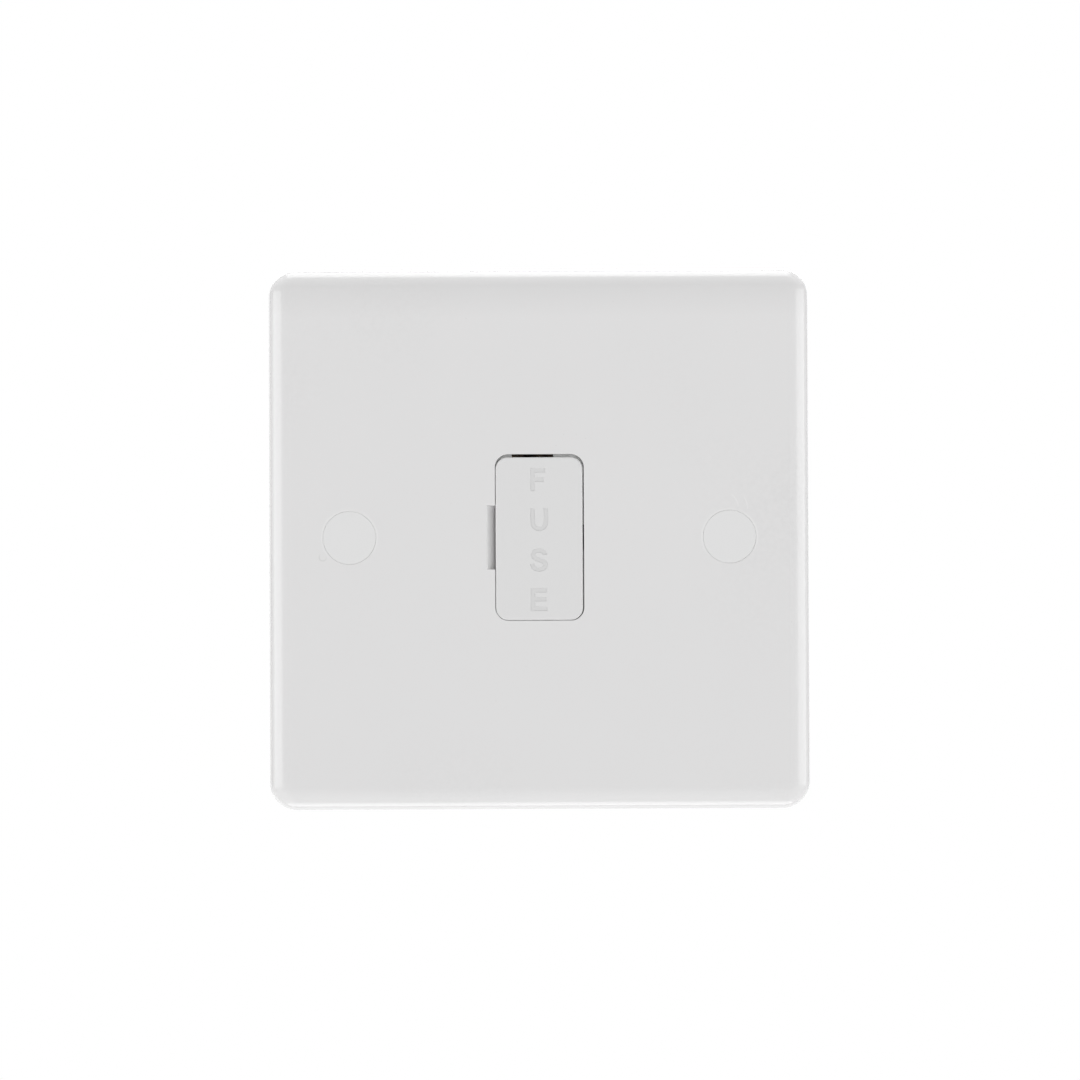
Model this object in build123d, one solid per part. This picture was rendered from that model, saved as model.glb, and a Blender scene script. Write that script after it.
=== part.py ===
from build123d import *
import math
import os

# Fused spur unit: a square moulded wall plate with a pull-out fuse carrier at its centre and a cap
# over each fixing screw. Behind the plate a rear cover closes a chamber that holds the fuse clips,
# the neutral and earth links and six screw terminals.
# Frame: X to the right and Z up as seen from the front, Y into the wall. The origin is the centre
# of the plate's rim, in the plane of the wall. Lengths are in millimetres.

# Wall plate
PLATE_SIZE = 86.0
PLATE_DEPTH = 9.0
PLATE_CORNER = 4.3
PLATE_DRAFT = 3.0
EDGE_ROUND = 3.0
EDGE_ROUND_LIMIT = 0.9
FACE_THICK = 2.4
SIDE_WALL = 2.2
INNER_ROUND = 0.8

# Fixing points: screw, cap and the pillar that holds both
FIXING_CENTRES = 60.3
FIXING_SCREW_DIA = 3.5
FIXING_SCREW_LENGTH = 25.0
FIXING_NECK_DIA = 3.1
FIXING_HEAD_DIA = 6.8
FIXING_DOME = 0.9
FIXING_HOLE_PLAY = 0.45
HEAD_PLAY = 0.1
THREAD_GAP = 0.3
CAP_DIA = 8.4
CAP_PLAY = 0.02
CAP_DISC = 1.4
CAP_SKIRT = 2.2
CAP_SKIRT_WALL = 0.75
CAP_EDGE = 0.06
CAP_TO_HEAD = 0.5
PILLAR_WALL = 1.6
PILLAR_SETBACK = 0.8
WEB_THICK = 1.4
WEB_SETBACK = 2.5

# Cartridge fuse
FUSE_LENGTH = 25.4
FUSE_CAP_DIA = 6.35
FUSE_CAP_LENGTH = 5.8
FUSE_CAP_WALL = 0.27
FUSE_CAP_END = 0.5
FUSE_CAP_ROUND = 0.25
FUSE_CAP_PLAY = 0.01
FUSE_TUBE_BORE = 3.6
FUSE_WIRE_DIA = 0.5

# Fuse carrier and the well that it slides in
CARRIER_WIDTH = 13.8
CARRIER_END_MARGIN = 0.23
CARRIER_CORNER = 1.95
CARRIER_FACE = 1.8
CARRIER_PLUG = 1.2
CARRIER_EDGE = 0.25
CARRIER_GAP_X = 0.15
CARRIER_GAP_Z = 0.28
CARRIER_DROP = 0.22
LATCH_PUSH = 0.06
LEDGE_LAP = 0.5
LEDGE_PLAY = 0.05
WELL_PLAY = 0.25
FUSE_OFFSET = -1.0
FUSE_SETBACK = 8.0
CRADLE_PLAY = 0.1
CRADLE_WRAP = 1.6
CRADLE_ARM = 1.35
CRADLE_END_PLAY = 0.4
CRADLE_RIB = 1.2
CRADLE_RELIEF = 2.2
LATCH_ARM = 1.1
LATCH_NIB = 0.35
LATCH_SLOT = 4.1
LATCH_NIB_PLAY = 0.3
WELL_WALL = 1.2
FUSE_SLOT_PLAY = 0.12
PRY_SLOT_WIDTH = 1.35
PRY_SLOT_HEIGHT = 10.15
PRY_SLOT_DEPTH = 1.2
PRY_LIP = 0.8
PRY_UNDERCUT = 1.9

# Fuse clips and links, folded or cut from strip
STRIP_THICK = 0.8
CLIP_PLAY = 0.05
CLIP_BACK_PLAY = 0.12
CLIP_LENGTH = 4.8
CLIP_RISE = 1.2
CLIP_FLARE = 0.6
CLIP_FLARE_RISE = 1.0
CLIP_BEND = 0.9
TAIL_LAP = 0.5
TAIL_WIDTH = 5.6
LINK_WIDTH = 6.0
STRIP_END_MARGIN = 0.4

# Terminals: a drilled brass block with a clamping screw
COLUMN_PITCH = 15.5
ROW_GAP = 3.59
BLOCK_WIDTH = 7.0
BLOCK_LENGTH = 8.0
BLOCK_DEPTH = 8.5
BLOCK_CHAMFER = 0.35
WIRE_BORE_DIA = 4.6
WIRE_BORE_SETBACK = 3.3
RIVET_DIA = 2.4
RIVET_HEAD_DIA = 3.6
RIVET_HEAD = 0.6
RIVET_PLAY = 0.05
CLAMP_SCREW_DIA = 4.0
CLAMP_SCREW_PLAY = 0.05
CLAMP_SCREW_LENGTH = 7.3
CLAMP_TIP_GAP = 0.2
CLAMP_TIP_CHAMFER = 0.5
CLAMP_HEAD_DIA = 5.6
CLAMP_HEAD = 2.0
DRIVE_SLOT_WIDTH = 1.0
DRIVE_SLOT_DEPTH = 1.1

# Rear cover and its screws
COVER_WALL = 1.6
COVER_CORNER = 2.0
COVER_EDGE = 1.0
COVER_TO_STRIP = 0.3
COVER_TO_HEAD = 0.2
LAP_DEPTH = 0.9
LAP_PLAY = 0.05
POCKET_PLAY = 0.2
POCKET_RIB = 1.0
SEAT_BITE = 0.5
STRIP_CLEAR = 0.2
ACCESS_DIA = 5.0
NOTCH_PLAY = 0.4
BOSS_PLAY = 0.1
BOSS_STANDOFF = 0.9
BOSS_PILOT_PLAY = 0.05
BOSS_PILOT_SPARE = 0.8
TUBE_DIA = 7.0
TUBE_FLOOR = 1.6
TUBE_BORE_PLAY = 0.2
COVER_SCREW_DIA = 2.4
COVER_SCREW_HOLE_PLAY = 0.25
COVER_SCREW_LENGTH = 9.5
COVER_SCREW_HEAD_DIA = 5.0
COVER_SCREW_HEAD = 1.8
COVER_SCREW_POINT = 1.2
BAR_RIB = 1.6
BAR_RIB_MARGIN = 2.0

# How far a cutting tool runs past the surface that it opens
OVERRUN = 1.0

# Depths along Y, from the front face to the back of the rear cover
WALL_PLANE = 0.0
FRONT = WALL_PLANE - PLATE_DEPTH
INNER = FRONT + FACE_THICK
LEDGE = FRONT + CARRIER_FACE + LEDGE_PLAY
FUSE_Y = FRONT + FUSE_SETBACK
STRIP_FRONT = FUSE_Y + FUSE_CAP_DIA / 2 + CLIP_BACK_PLAY
STRIP_BACK = STRIP_FRONT + STRIP_THICK
JOINT = STRIP_FRONT - COVER_TO_STRIP
WIRE_Y = STRIP_BACK + WIRE_BORE_SETBACK
BLOCK_BACK = STRIP_BACK + BLOCK_DEPTH
CLAMP_TIP = WIRE_Y + WIRE_BORE_DIA / 2 + CLAMP_TIP_GAP
CLAMP_HEAD_FRONT = CLAMP_TIP + CLAMP_SCREW_LENGTH
COVER_INNER = CLAMP_HEAD_FRONT + CLAMP_HEAD + COVER_TO_HEAD
COVER_BACK = COVER_INNER + COVER_WALL
BOSS_END = STRIP_BACK + BOSS_STANDOFF
COVER_SCREW_SEAT = BOSS_END + TUBE_FLOOR
FIXING_SEAT = FRONT + CAP_DISC + CAP_SKIRT + CAP_TO_HEAD + FIXING_DOME
PILLAR_BACK = WALL_PLANE - PILLAR_SETBACK
THREAD_START = PILLAR_BACK + THREAD_GAP

# Heights and widths that follow from the pieces they hold
CARRIER_HEIGHT = FUSE_LENGTH + 2 * CARRIER_END_MARGIN
APERTURE_WIDTH = CARRIER_WIDTH + 2 * CARRIER_GAP_X
APERTURE_HEIGHT = CARRIER_HEIGHT + 2 * CARRIER_GAP_Z
APERTURE_CORNER = CARRIER_CORNER + CARRIER_GAP_X
WELL_WIDTH = APERTURE_WIDTH - 2 * LEDGE_LAP
WELL_HEIGHT = APERTURE_HEIGHT - 2 * LEDGE_LAP
WELL_CORNER = APERTURE_CORNER - LEDGE_LAP
FUSE_SLOT = FUSE_CAP_DIA + 2 * FUSE_SLOT_PLAY
FUSE_X = FUSE_OFFSET - LATCH_PUSH
CLIP_Z = FUSE_LENGTH / 2 - FUSE_CAP_LENGTH / 2
CRADLE_HALF_HEIGHT = FUSE_LENGTH / 2 - FUSE_CAP_LENGTH - CRADLE_END_PLAY
FUSE_TUBE_DIA = FUSE_CAP_DIA - 2 * (FUSE_CAP_WALL + FUSE_CAP_PLAY)
TERMINAL_Z = WELL_HEIGHT / 2 + WELL_WALL + ROW_GAP + BLOCK_LENGTH / 2
STRIP_END = TERMINAL_Z + BLOCK_LENGTH / 2 - STRIP_END_MARGIN
COVER_WIDTH = 2 * (COLUMN_PITCH + BLOCK_WIDTH / 2 + POCKET_PLAY + COVER_WALL)
COVER_HEIGHT = 2 * (TERMINAL_Z + BLOCK_LENGTH / 2 + POCKET_PLAY + COVER_WALL)
COVER_SCREW_X = COLUMN_PITCH / 2
BOSS_RADIUS = COVER_SCREW_X - BLOCK_WIDTH / 2 - POCKET_PLAY - POCKET_RIB - BOSS_PLAY
RECESS_RADIUS = CAP_DIA / 2 + CAP_PLAY
FIXING_X = FIXING_CENTRES / 2

COLUMNS = {"neutral": -COLUMN_PITCH, "live": 0.0, "earth": COLUMN_PITCH}
ROWS = {"load": 1, "supply": -1}
SIDES = {"left": -1, "right": 1}


def face_plane(y):
    """A drawing plane parallel to the wall at depth y, with its x along X and its y along Z."""
    return Plane(origin=(0, y, 0), x_dir=(1, 0, 0), z_dir=(0, -1, 0))


def prism(outline, front, back):
    """An outline drawn as seen from the front, made solid between two depths."""
    return extrude(face_plane(back) * outline, back - front)


def rod(x, z, radius, front, back):
    """A round bar or hole along Y."""
    return prism(Pos(x, z) * Circle(radius), front, back)


def bar(x_low, x_high, z_low, z_high, front, back):
    """A plain rectangular block between the given limits."""
    centre = Pos((x_low + x_high) / 2, (z_low + z_high) / 2)
    return prism(centre * Rectangle(x_high - x_low, z_high - z_low), front, back)


def turned(*outline):
    """A solid of revolution about Y from edges drawn as (radius, y)."""
    return revolve(make_face(outline), Axis.Y)


def frame_wall(width, height, corner, thick, front, back):
    """An upright wall around a rounded rectangle, inside its outline."""
    inner_corner = max(corner - thick, thick / 4)
    outline = RectangleRounded(width, height, corner)
    outline -= RectangleRounded(width - 2 * thick, height - 2 * thick, inner_corner)
    return prism(outline, front, back)


def plate_shell():
    """The drafted square dish with its rounded front edge, open at the back."""
    rim = face_plane(WALL_PLANE) * RectangleRounded(PLATE_SIZE, PLATE_SIZE, PLATE_CORNER)
    dish = extrude(rim, PLATE_DEPTH, taper=PLATE_DRAFT)
    front_corner = PLATE_CORNER - PLATE_DEPTH * math.tan(math.radians(PLATE_DRAFT))
    edge_round = min(EDGE_ROUND, EDGE_ROUND_LIMIT * front_corner)
    dish = fillet(dish.faces().sort_by(Axis.Y)[0].edges(), edge_round)
    hollow_size = PLATE_SIZE - 2 * SIDE_WALL
    hollow_corner = max(PLATE_CORNER - SIDE_WALL, SIDE_WALL / 2)
    mouth = face_plane(WALL_PLANE) * RectangleRounded(hollow_size, hollow_size, hollow_corner)
    hollow = extrude(mouth, PLATE_DEPTH - FACE_THICK, taper=PLATE_DRAFT)
    hollow = fillet(hollow.faces().sort_by(Axis.Y)[0].edges(), min(INNER_ROUND, hollow_corner / 2))
    return dish - hollow


def fixing_pillars():
    """Round pillars behind the fixing points, each tied to the rim and the chamber by a web."""
    reach = PLATE_SIZE / 2 - SIDE_WALL
    pillars = Part()
    for side in SIDES.values():
        pillars += rod(side * FIXING_X, 0, RECESS_RADIUS + PILLAR_WALL, INNER, PILLAR_BACK)
        ends = sorted((side * (COVER_WIDTH / 2 - COVER_WALL / 2), side * reach))
        pillars += bar(*ends, -WEB_THICK / 2, WEB_THICK / 2, INNER, WALL_PLANE - WEB_SETBACK)
    return pillars


def fixing_holes():
    """Cap recess, countersink and clearance hole, cut through each pillar."""
    head_radius = FIXING_HEAD_DIA / 2 + HEAD_PLAY
    hole_radius = FIXING_SCREW_DIA / 2 + FIXING_HOLE_PLAY
    sink_end = FIXING_SEAT + head_radius - hole_radius
    cutter = turned(
        Polyline(
            (0, FRONT - OVERRUN),
            (RECESS_RADIUS, FRONT - OVERRUN),
            (RECESS_RADIUS, FIXING_SEAT),
            (head_radius, FIXING_SEAT),
            (hole_radius, sink_end),
            (hole_radius, PILLAR_BACK + OVERRUN),
            (0, PILLAR_BACK + OVERRUN),
            close=True,
        )
    )
    return [Pos(side * FIXING_X, 0, 0) * cutter for side in SIDES.values()]


def well_slots(width, height):
    """Outline of the slots for the fuse's ends and for the latch, out to the given limits."""
    end_slot = Pos(FUSE_X, 0) * Rectangle(FUSE_SLOT, height)
    return end_slot + Pos(width / 4, 0) * Rectangle(width / 2, LATCH_SLOT)


def fuse_well():
    """The walls that guide the carrier, cut away where the fuse's ends and the latch lie."""
    width = WELL_WIDTH + 2 * WELL_WALL
    height = WELL_HEIGHT + 2 * WELL_WALL
    well = frame_wall(width, height, WELL_CORNER + WELL_WALL, WELL_WALL, INNER, STRIP_FRONT)
    return well - prism(well_slots(width, height), INNER, STRIP_FRONT)


def carrier_aperture():
    """The recess for the carrier's face and, past the ledge that it sits on, the way into the well."""
    recess = prism(RectangleRounded(APERTURE_WIDTH, APERTURE_HEIGHT, APERTURE_CORNER), FRONT, LEDGE)
    mouth = RectangleRounded(WELL_WIDTH, WELL_HEIGHT, WELL_CORNER)
    mouth += well_slots(APERTURE_WIDTH, APERTURE_HEIGHT)
    return recess + prism(mouth, LEDGE, INNER)


def pry_slot():
    """The ramp beside the carrier that leads a screwdriver blade under the carrier's lip."""
    edge = -APERTURE_WIDTH / 2
    ramp = make_face(
        Polyline(
            (edge - PRY_SLOT_WIDTH, FRONT - OVERRUN),
            (edge - PRY_SLOT_WIDTH, FRONT),
            (edge, FRONT + PRY_SLOT_DEPTH),
            (edge, FRONT - OVERRUN),
            close=True,
        )
    )
    return Pos(0, 0, -PRY_SLOT_HEIGHT / 2) * extrude(ramp, PRY_SLOT_HEIGHT)


def screw_bosses():
    """Four bosses that take the rear cover's screws, with blind pilot holes."""
    pilot_end = COVER_SCREW_SEAT - COVER_SCREW_LENGTH - BOSS_PILOT_SPARE
    pilot_radius = COVER_SCREW_DIA / 2 + BOSS_PILOT_PLAY
    bosses = Part()
    pilots = []
    for x, z in cover_screw_places():
        bosses += rod(x, z, BOSS_RADIUS, INNER, BOSS_END)
        pilots.append(rod(x, z, pilot_radius, pilot_end, BOSS_END))
    return bosses - pilots


def front_plate():
    """The one-piece moulded plate."""
    plate = plate_shell() + fixing_pillars() + fuse_well()
    plate += frame_wall(COVER_WIDTH, COVER_HEIGHT, COVER_CORNER, COVER_WALL, INNER, JOINT)
    lap_wall = COVER_WALL / 2 - LAP_PLAY
    plate += frame_wall(COVER_WIDTH, COVER_HEIGHT, COVER_CORNER, lap_wall, JOINT, JOINT + LAP_DEPTH)
    rib_end = TERMINAL_Z - BLOCK_LENGTH / 2 - BAR_RIB_MARGIN
    for side in SIDES.values():
        x = side * COLUMN_PITCH
        plate += bar(x - BAR_RIB / 2, x + BAR_RIB / 2, -rib_end, rib_end, INNER, STRIP_FRONT)
    plate += screw_bosses()
    plate -= fixing_holes()
    return plate - carrier_aperture() - pry_slot()


def screw_cap():
    """A push-in cap: a disc with a short skirt, centred on the Y axis at the front face."""
    radius = CAP_DIA / 2
    skirt_end = FRONT + CAP_DISC + CAP_SKIRT
    cap = turned(
        Polyline(
            (0, FRONT),
            (radius, FRONT),
            (radius, skirt_end),
            (radius - CAP_SKIRT_WALL, skirt_end),
            (radius - CAP_SKIRT_WALL, FRONT + CAP_DISC),
            (0, FRONT + CAP_DISC),
            close=True,
        )
    )
    return fillet(cap.faces().sort_by(Axis.Y)[0].edges(), CAP_EDGE)


def drive_slot(head_back, width, depth, length):
    """The straight slot in a screw head that faces the back."""
    return bar(-length, length, -width / 2, width / 2, head_back - depth, head_back + OVERRUN)


def fixing_screw():
    """A raised countersunk screw with a plain neck, centred on the Y axis, its head to the front."""
    head = FIXING_HEAD_DIA / 2
    neck = FIXING_NECK_DIA / 2
    thread = FIXING_SCREW_DIA / 2
    tip = FIXING_SEAT + FIXING_SCREW_LENGTH
    dome_top = FIXING_SEAT - FIXING_DOME
    dome_radius = (head**2 + FIXING_DOME**2) / (2 * FIXING_DOME)
    chamfer = thread - neck
    dome = RadiusArc((0, dome_top), (head, FIXING_SEAT), dome_radius)
    body = Polyline(
        (head, FIXING_SEAT),
        (neck, FIXING_SEAT + head - neck),
        (neck, THREAD_START - chamfer),
        (thread, THREAD_START),
        (thread, tip - chamfer),
        (neck, tip),
        (0, tip),
        (0, dome_top),
    )
    slot_half = DRIVE_SLOT_WIDTH / 2
    slot = bar(-head, head, -slot_half, slot_half, dome_top - OVERRUN, dome_top + DRIVE_SLOT_DEPTH)
    return turned(dome, body) - slot


def fuse_tube():
    """The ceramic tube of the cartridge fuse, upright on the Z axis."""
    length = FUSE_LENGTH - 2 * FUSE_CAP_END
    return Cylinder(FUSE_TUBE_DIA / 2, length) - Cylinder(FUSE_TUBE_BORE / 2, length)


def fuse_cap(direction):
    """A drawn metal cap over one end of the tube."""
    outer = FUSE_CAP_DIA / 2
    end = FUSE_LENGTH / 2
    cup = Pos(0, 0, end - FUSE_CAP_LENGTH / 2) * Cylinder(outer, FUSE_CAP_LENGTH)
    cup = fillet(cup.faces().sort_by(Axis.Z)[-1].edges(), FUSE_CAP_ROUND)
    depth = FUSE_CAP_LENGTH - FUSE_CAP_END
    cup -= Pos(0, 0, end - FUSE_CAP_END - depth / 2) * Cylinder(outer - FUSE_CAP_WALL, depth)
    return cup if direction > 0 else Rot(180, 0, 0) * cup


def fuse_element():
    """The fuse wire, from cap to cap."""
    return Cylinder(FUSE_WIRE_DIA / 2, FUSE_LENGTH - 2 * FUSE_CAP_END)


def carrier_face():
    """The front of the carrier, with its outer edge eased, and the plug behind it that fills the well."""
    face_back = FRONT + CARRIER_FACE
    outline = RectangleRounded(CARRIER_WIDTH, CARRIER_HEIGHT, CARRIER_CORNER)
    face = prism(outline, FRONT, face_back)
    face = fillet(face.faces().sort_by(Axis.Y)[0].edges(), CARRIER_EDGE)
    plug_width = WELL_WIDTH - 2 * WELL_PLAY
    plug_height = WELL_HEIGHT - 2 * WELL_PLAY
    plug = RectangleRounded(plug_width, plug_height, WELL_CORNER - WELL_PLAY)
    return face + prism(plug, face_back, face_back + CARRIER_PLUG)


def fuse_carrier():
    """The pull-out carrier: a face with a snap-in cradle for the fuse and a sprung latch arm."""
    half = WELL_WIDTH / 2 - WELL_PLAY
    top = CRADLE_HALF_HEIGHT
    cradle_back = FUSE_Y + CRADLE_WRAP
    face_back = FRONT + CARRIER_FACE
    plug_back = face_back + CARRIER_PLUG
    bore = FUSE_TUBE_DIA / 2 + CRADLE_PLAY
    mouth = (bore**2 - CRADLE_WRAP**2) ** 0.5
    carrier = carrier_face() + bar(-half, half, -top, top, plug_back, cradle_back)
    nib_half = LATCH_SLOT / 2 - LATCH_NIB_PLAY
    nib_front = cradle_back - 2 * LATCH_ARM
    nib = make_face(
        Polyline(
            (half - LATCH_NIB, nib_front), (half + LATCH_NIB, nib_front),
            (half, cradle_back), (half - LATCH_NIB, cradle_back), close=True,
        )
    )
    carrier += Pos(0, 0, -nib_half) * extrude(nib, 2 * nib_half)
    carrier -= Pos(FUSE_OFFSET, FUSE_Y, 0) * Cylinder(bore, 2 * top)
    carrier -= bar(FUSE_OFFSET - mouth, FUSE_OFFSET + mouth, -top, top, FUSE_Y, cradle_back)
    latch_gap = FUSE_OFFSET + bore + CRADLE_ARM
    carrier -= bar(latch_gap, half - LATCH_ARM, -top, top, plug_back, cradle_back)
    relief_low = FUSE_OFFSET - CRADLE_RELIEF
    relief_high = FUSE_OFFSET + CRADLE_RELIEF
    for z_low, z_high in cradle_reliefs(top):
        carrier -= bar(relief_low, relief_high, z_low, z_high, plug_back, FUSE_Y)
    edge = -CARRIER_WIDTH / 2
    pry_half = PRY_SLOT_HEIGHT / 2
    return carrier - bar(edge, edge + PRY_UNDERCUT, -pry_half, pry_half, FRONT + PRY_LIP, face_back)


def cradle_reliefs(top):
    """Height ranges hollowed out in front of the fuse, which leave two ribs for it to rest on."""
    pitch = 2 * top / 3
    half = (pitch - CRADLE_RIB) / 2
    return [(step * pitch - half, step * pitch + half) for step in (-1, 0, 1)]


def fuse_clip(direction):
    """A strip folded into a sprung jaw for one end of the fuse, with a tail to its terminal."""
    reach = FUSE_CAP_DIA / 2 + CLIP_PLAY + STRIP_THICK / 2
    back = STRIP_FRONT + STRIP_THICK / 2
    rise = FUSE_Y - CLIP_RISE
    jaw_line = FilletPolyline(
        (-reach - CLIP_FLARE, rise - CLIP_FLARE_RISE), (-reach, rise), (-reach, back),
        (reach, back), (reach, rise), (reach + CLIP_FLARE, rise - CLIP_FLARE_RISE),
        radius=CLIP_BEND,
    )
    jaw = extrude(trace(jaw_line, STRIP_THICK), CLIP_LENGTH)
    jaw = Pos(FUSE_X, 0, CLIP_Z - CLIP_LENGTH / 2) * jaw
    neck_half = FUSE_SLOT / 2 + TAIL_LAP
    neck_start = CLIP_Z + CLIP_LENGTH / 2 - STRIP_THICK
    neck_end = WELL_HEIGHT / 2 + WELL_WALL + TAIL_LAP
    clip = jaw + bar(
        FUSE_X - neck_half, FUSE_X + neck_half, neck_start, neck_end, STRIP_FRONT, STRIP_BACK
    )
    tail_half = TAIL_WIDTH / 2
    clip += bar(
        FUSE_X - tail_half, FUSE_X + tail_half, neck_end, STRIP_END, STRIP_FRONT, STRIP_BACK
    )
    clip -= rod(0, TERMINAL_Z, RIVET_DIA / 2 + RIVET_PLAY, STRIP_FRONT, STRIP_BACK)
    return clip if direction > 0 else mirror(clip, Plane.XY)


def link(x):
    """A flat bar that joins the two terminals of one column."""
    outline = Pos(x, 0) * SlotOverall(2 * STRIP_END, LINK_WIDTH, rotation=90)
    strip = prism(outline, STRIP_FRONT, STRIP_BACK)
    for row in ROWS.values():
        strip -= rod(x, row * TERMINAL_Z, RIVET_DIA / 2 + RIVET_PLAY, STRIP_FRONT, STRIP_BACK)
    return strip


def terminal_block(x, z):
    """A brass block with a wire hole along Z, a clamp hole from the back and a riveted spigot."""
    block = bar(
        x - BLOCK_WIDTH / 2, x + BLOCK_WIDTH / 2, z - BLOCK_LENGTH / 2, z + BLOCK_LENGTH / 2,
        STRIP_BACK, BLOCK_BACK,
    )
    block = chamfer(block.edges().filter_by(Axis.Z), BLOCK_CHAMFER)
    block -= Pos(x, WIRE_Y, z) * Cylinder(WIRE_BORE_DIA / 2, BLOCK_LENGTH)
    block -= rod(x, z, CLAMP_SCREW_DIA / 2 + CLAMP_SCREW_PLAY, WIRE_Y, BLOCK_BACK)
    block += rod(x, z, RIVET_DIA / 2, STRIP_FRONT, STRIP_BACK)
    return block + rod(x, z, RIVET_HEAD_DIA / 2, STRIP_FRONT - RIVET_HEAD, STRIP_FRONT)


def clamp_screw():
    """A slotted terminal screw, backed out, centred on the Y axis with its head to the back."""
    shank = CLAMP_SCREW_DIA / 2
    head_back = CLAMP_HEAD_FRONT + CLAMP_HEAD
    screw = turned(
        Polyline(
            (0, CLAMP_TIP),
            (shank - CLAMP_TIP_CHAMFER, CLAMP_TIP),
            (shank, CLAMP_TIP + CLAMP_TIP_CHAMFER),
            (shank, CLAMP_HEAD_FRONT),
            (CLAMP_HEAD_DIA / 2, CLAMP_HEAD_FRONT),
            (CLAMP_HEAD_DIA / 2, head_back),
            (0, head_back),
            close=True,
        )
    )
    return screw - drive_slot(head_back, DRIVE_SLOT_WIDTH, DRIVE_SLOT_DEPTH, CLAMP_HEAD_DIA)


def cover_screw_places():
    """Centres of the rear cover's screws, between the terminals."""
    return [(side * COVER_SCREW_X, row * TERMINAL_Z) for row in ROWS.values() for side in SIDES.values()]


def cover_screw():
    """A pan-head self-tapping screw, centred on the Y axis with its head to the back."""
    shank = COVER_SCREW_DIA / 2
    tip = COVER_SCREW_SEAT - COVER_SCREW_LENGTH
    head_back = COVER_SCREW_SEAT + COVER_SCREW_HEAD
    screw = turned(
        Polyline(
            (0, tip),
            (shank, tip + COVER_SCREW_POINT),
            (shank, COVER_SCREW_SEAT),
            (COVER_SCREW_HEAD_DIA / 2, COVER_SCREW_SEAT),
            (COVER_SCREW_HEAD_DIA / 2, head_back),
            (0, head_back),
            close=True,
        )
    )
    screw = fillet(screw.faces().sort_by(Axis.Y)[-1].edges(), COVER_SCREW_HEAD / 3)
    return screw - drive_slot(head_back, DRIVE_SLOT_WIDTH, DRIVE_SLOT_DEPTH, COVER_SCREW_HEAD_DIA)


def terminal_pocket(x, row):
    """Ribs inside the cover that keep one terminal block in place and seat its back face."""
    near = BLOCK_WIDTH / 2 + POCKET_PLAY
    far = near + POCKET_RIB
    inner_end = TERMINAL_Z - BLOCK_LENGTH / 2 - POCKET_PLAY
    outer_end = COVER_HEIGHT / 2 - COVER_WALL / 2
    rib_front = STRIP_BACK + STRIP_CLEAR
    half_width = COVER_WIDTH / 2 - COVER_WALL / 2
    pocket = Part()
    for side in SIDES.values():
        side_rib = sorted((x + side * near, x + side * far))
        side_rib = [max(-half_width, min(half_width, limit)) for limit in side_rib]
        heights = sorted((row * (inner_end - POCKET_RIB), row * outer_end))
        pocket += bar(*side_rib, *heights, rib_front, COVER_INNER)
        seat = sorted((x + side * (BLOCK_WIDTH / 2 - SEAT_BITE), x + side * (near + POCKET_RIB / 2)))
        seat = [max(-half_width, min(half_width, limit)) for limit in seat]
        heights = sorted((row * inner_end, row * outer_end))
        pocket += bar(*seat, *heights, BLOCK_BACK, COVER_INNER)
    heights = sorted((row * (inner_end - POCKET_RIB), row * inner_end))
    widths = [max(-half_width, x - far), min(half_width, x + far)]
    return pocket + bar(*widths, *heights, rib_front, COVER_INNER)


def wire_notch(x, row):
    """A round-ended notch in the cover's end wall, in line with one terminal's wire hole."""
    width = WIRE_BORE_DIA + 2 * NOTCH_PLAY
    outline = Pos(x, (JOINT + WIRE_Y) / 2) * Rectangle(width, WIRE_Y - JOINT)
    outline += Pos(x, WIRE_Y) * Circle(width / 2)
    height = row * (COVER_HEIGHT / 2 - COVER_WALL / 2)
    return Pos(0, 0, height - COVER_WALL) * extrude(outline, 2 * COVER_WALL)


def rear_cover():
    """The moulded tray behind the plate, with terminal pockets, wire notches and screw tubes."""
    cover = prism(RectangleRounded(COVER_WIDTH, COVER_HEIGHT, COVER_CORNER), JOINT, COVER_BACK)
    cover = fillet(cover.faces().sort_by(Axis.Y)[-1].edges(), min(COVER_EDGE, COVER_WALL, COVER_CORNER / 2))
    inner_width = COVER_WIDTH - 2 * COVER_WALL
    inner_height = COVER_HEIGHT - 2 * COVER_WALL
    inner_corner = max(COVER_CORNER - COVER_WALL, COVER_WALL / 4)
    cover -= prism(RectangleRounded(inner_width, inner_height, inner_corner), JOINT, COVER_INNER)
    for x, z in cover_screw_places():
        cover += rod(x, z, TUBE_DIA / 2, BOSS_END, COVER_INNER)
    for x in COLUMNS.values():
        for row in ROWS.values():
            cover += terminal_pocket(x, row)
            cover -= wire_notch(x, row)
            cover -= rod(x, row * TERMINAL_Z, ACCESS_DIA / 2, COVER_INNER, COVER_BACK)
    head_room = COVER_SCREW_HEAD_DIA / 2 + TUBE_BORE_PLAY
    for x, z in cover_screw_places():
        cover -= rod(x, z, head_room, COVER_SCREW_SEAT, COVER_BACK)
        cover -= rod(x, z, COVER_SCREW_DIA / 2 + COVER_SCREW_HOLE_PLAY, BOSS_END, COVER_SCREW_SEAT)
    rebate_end = JOINT + LAP_DEPTH + LAP_PLAY
    return cover - frame_wall(COVER_WIDTH, COVER_HEIGHT, COVER_CORNER, COVER_WALL / 2, JOINT, rebate_end)


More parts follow.
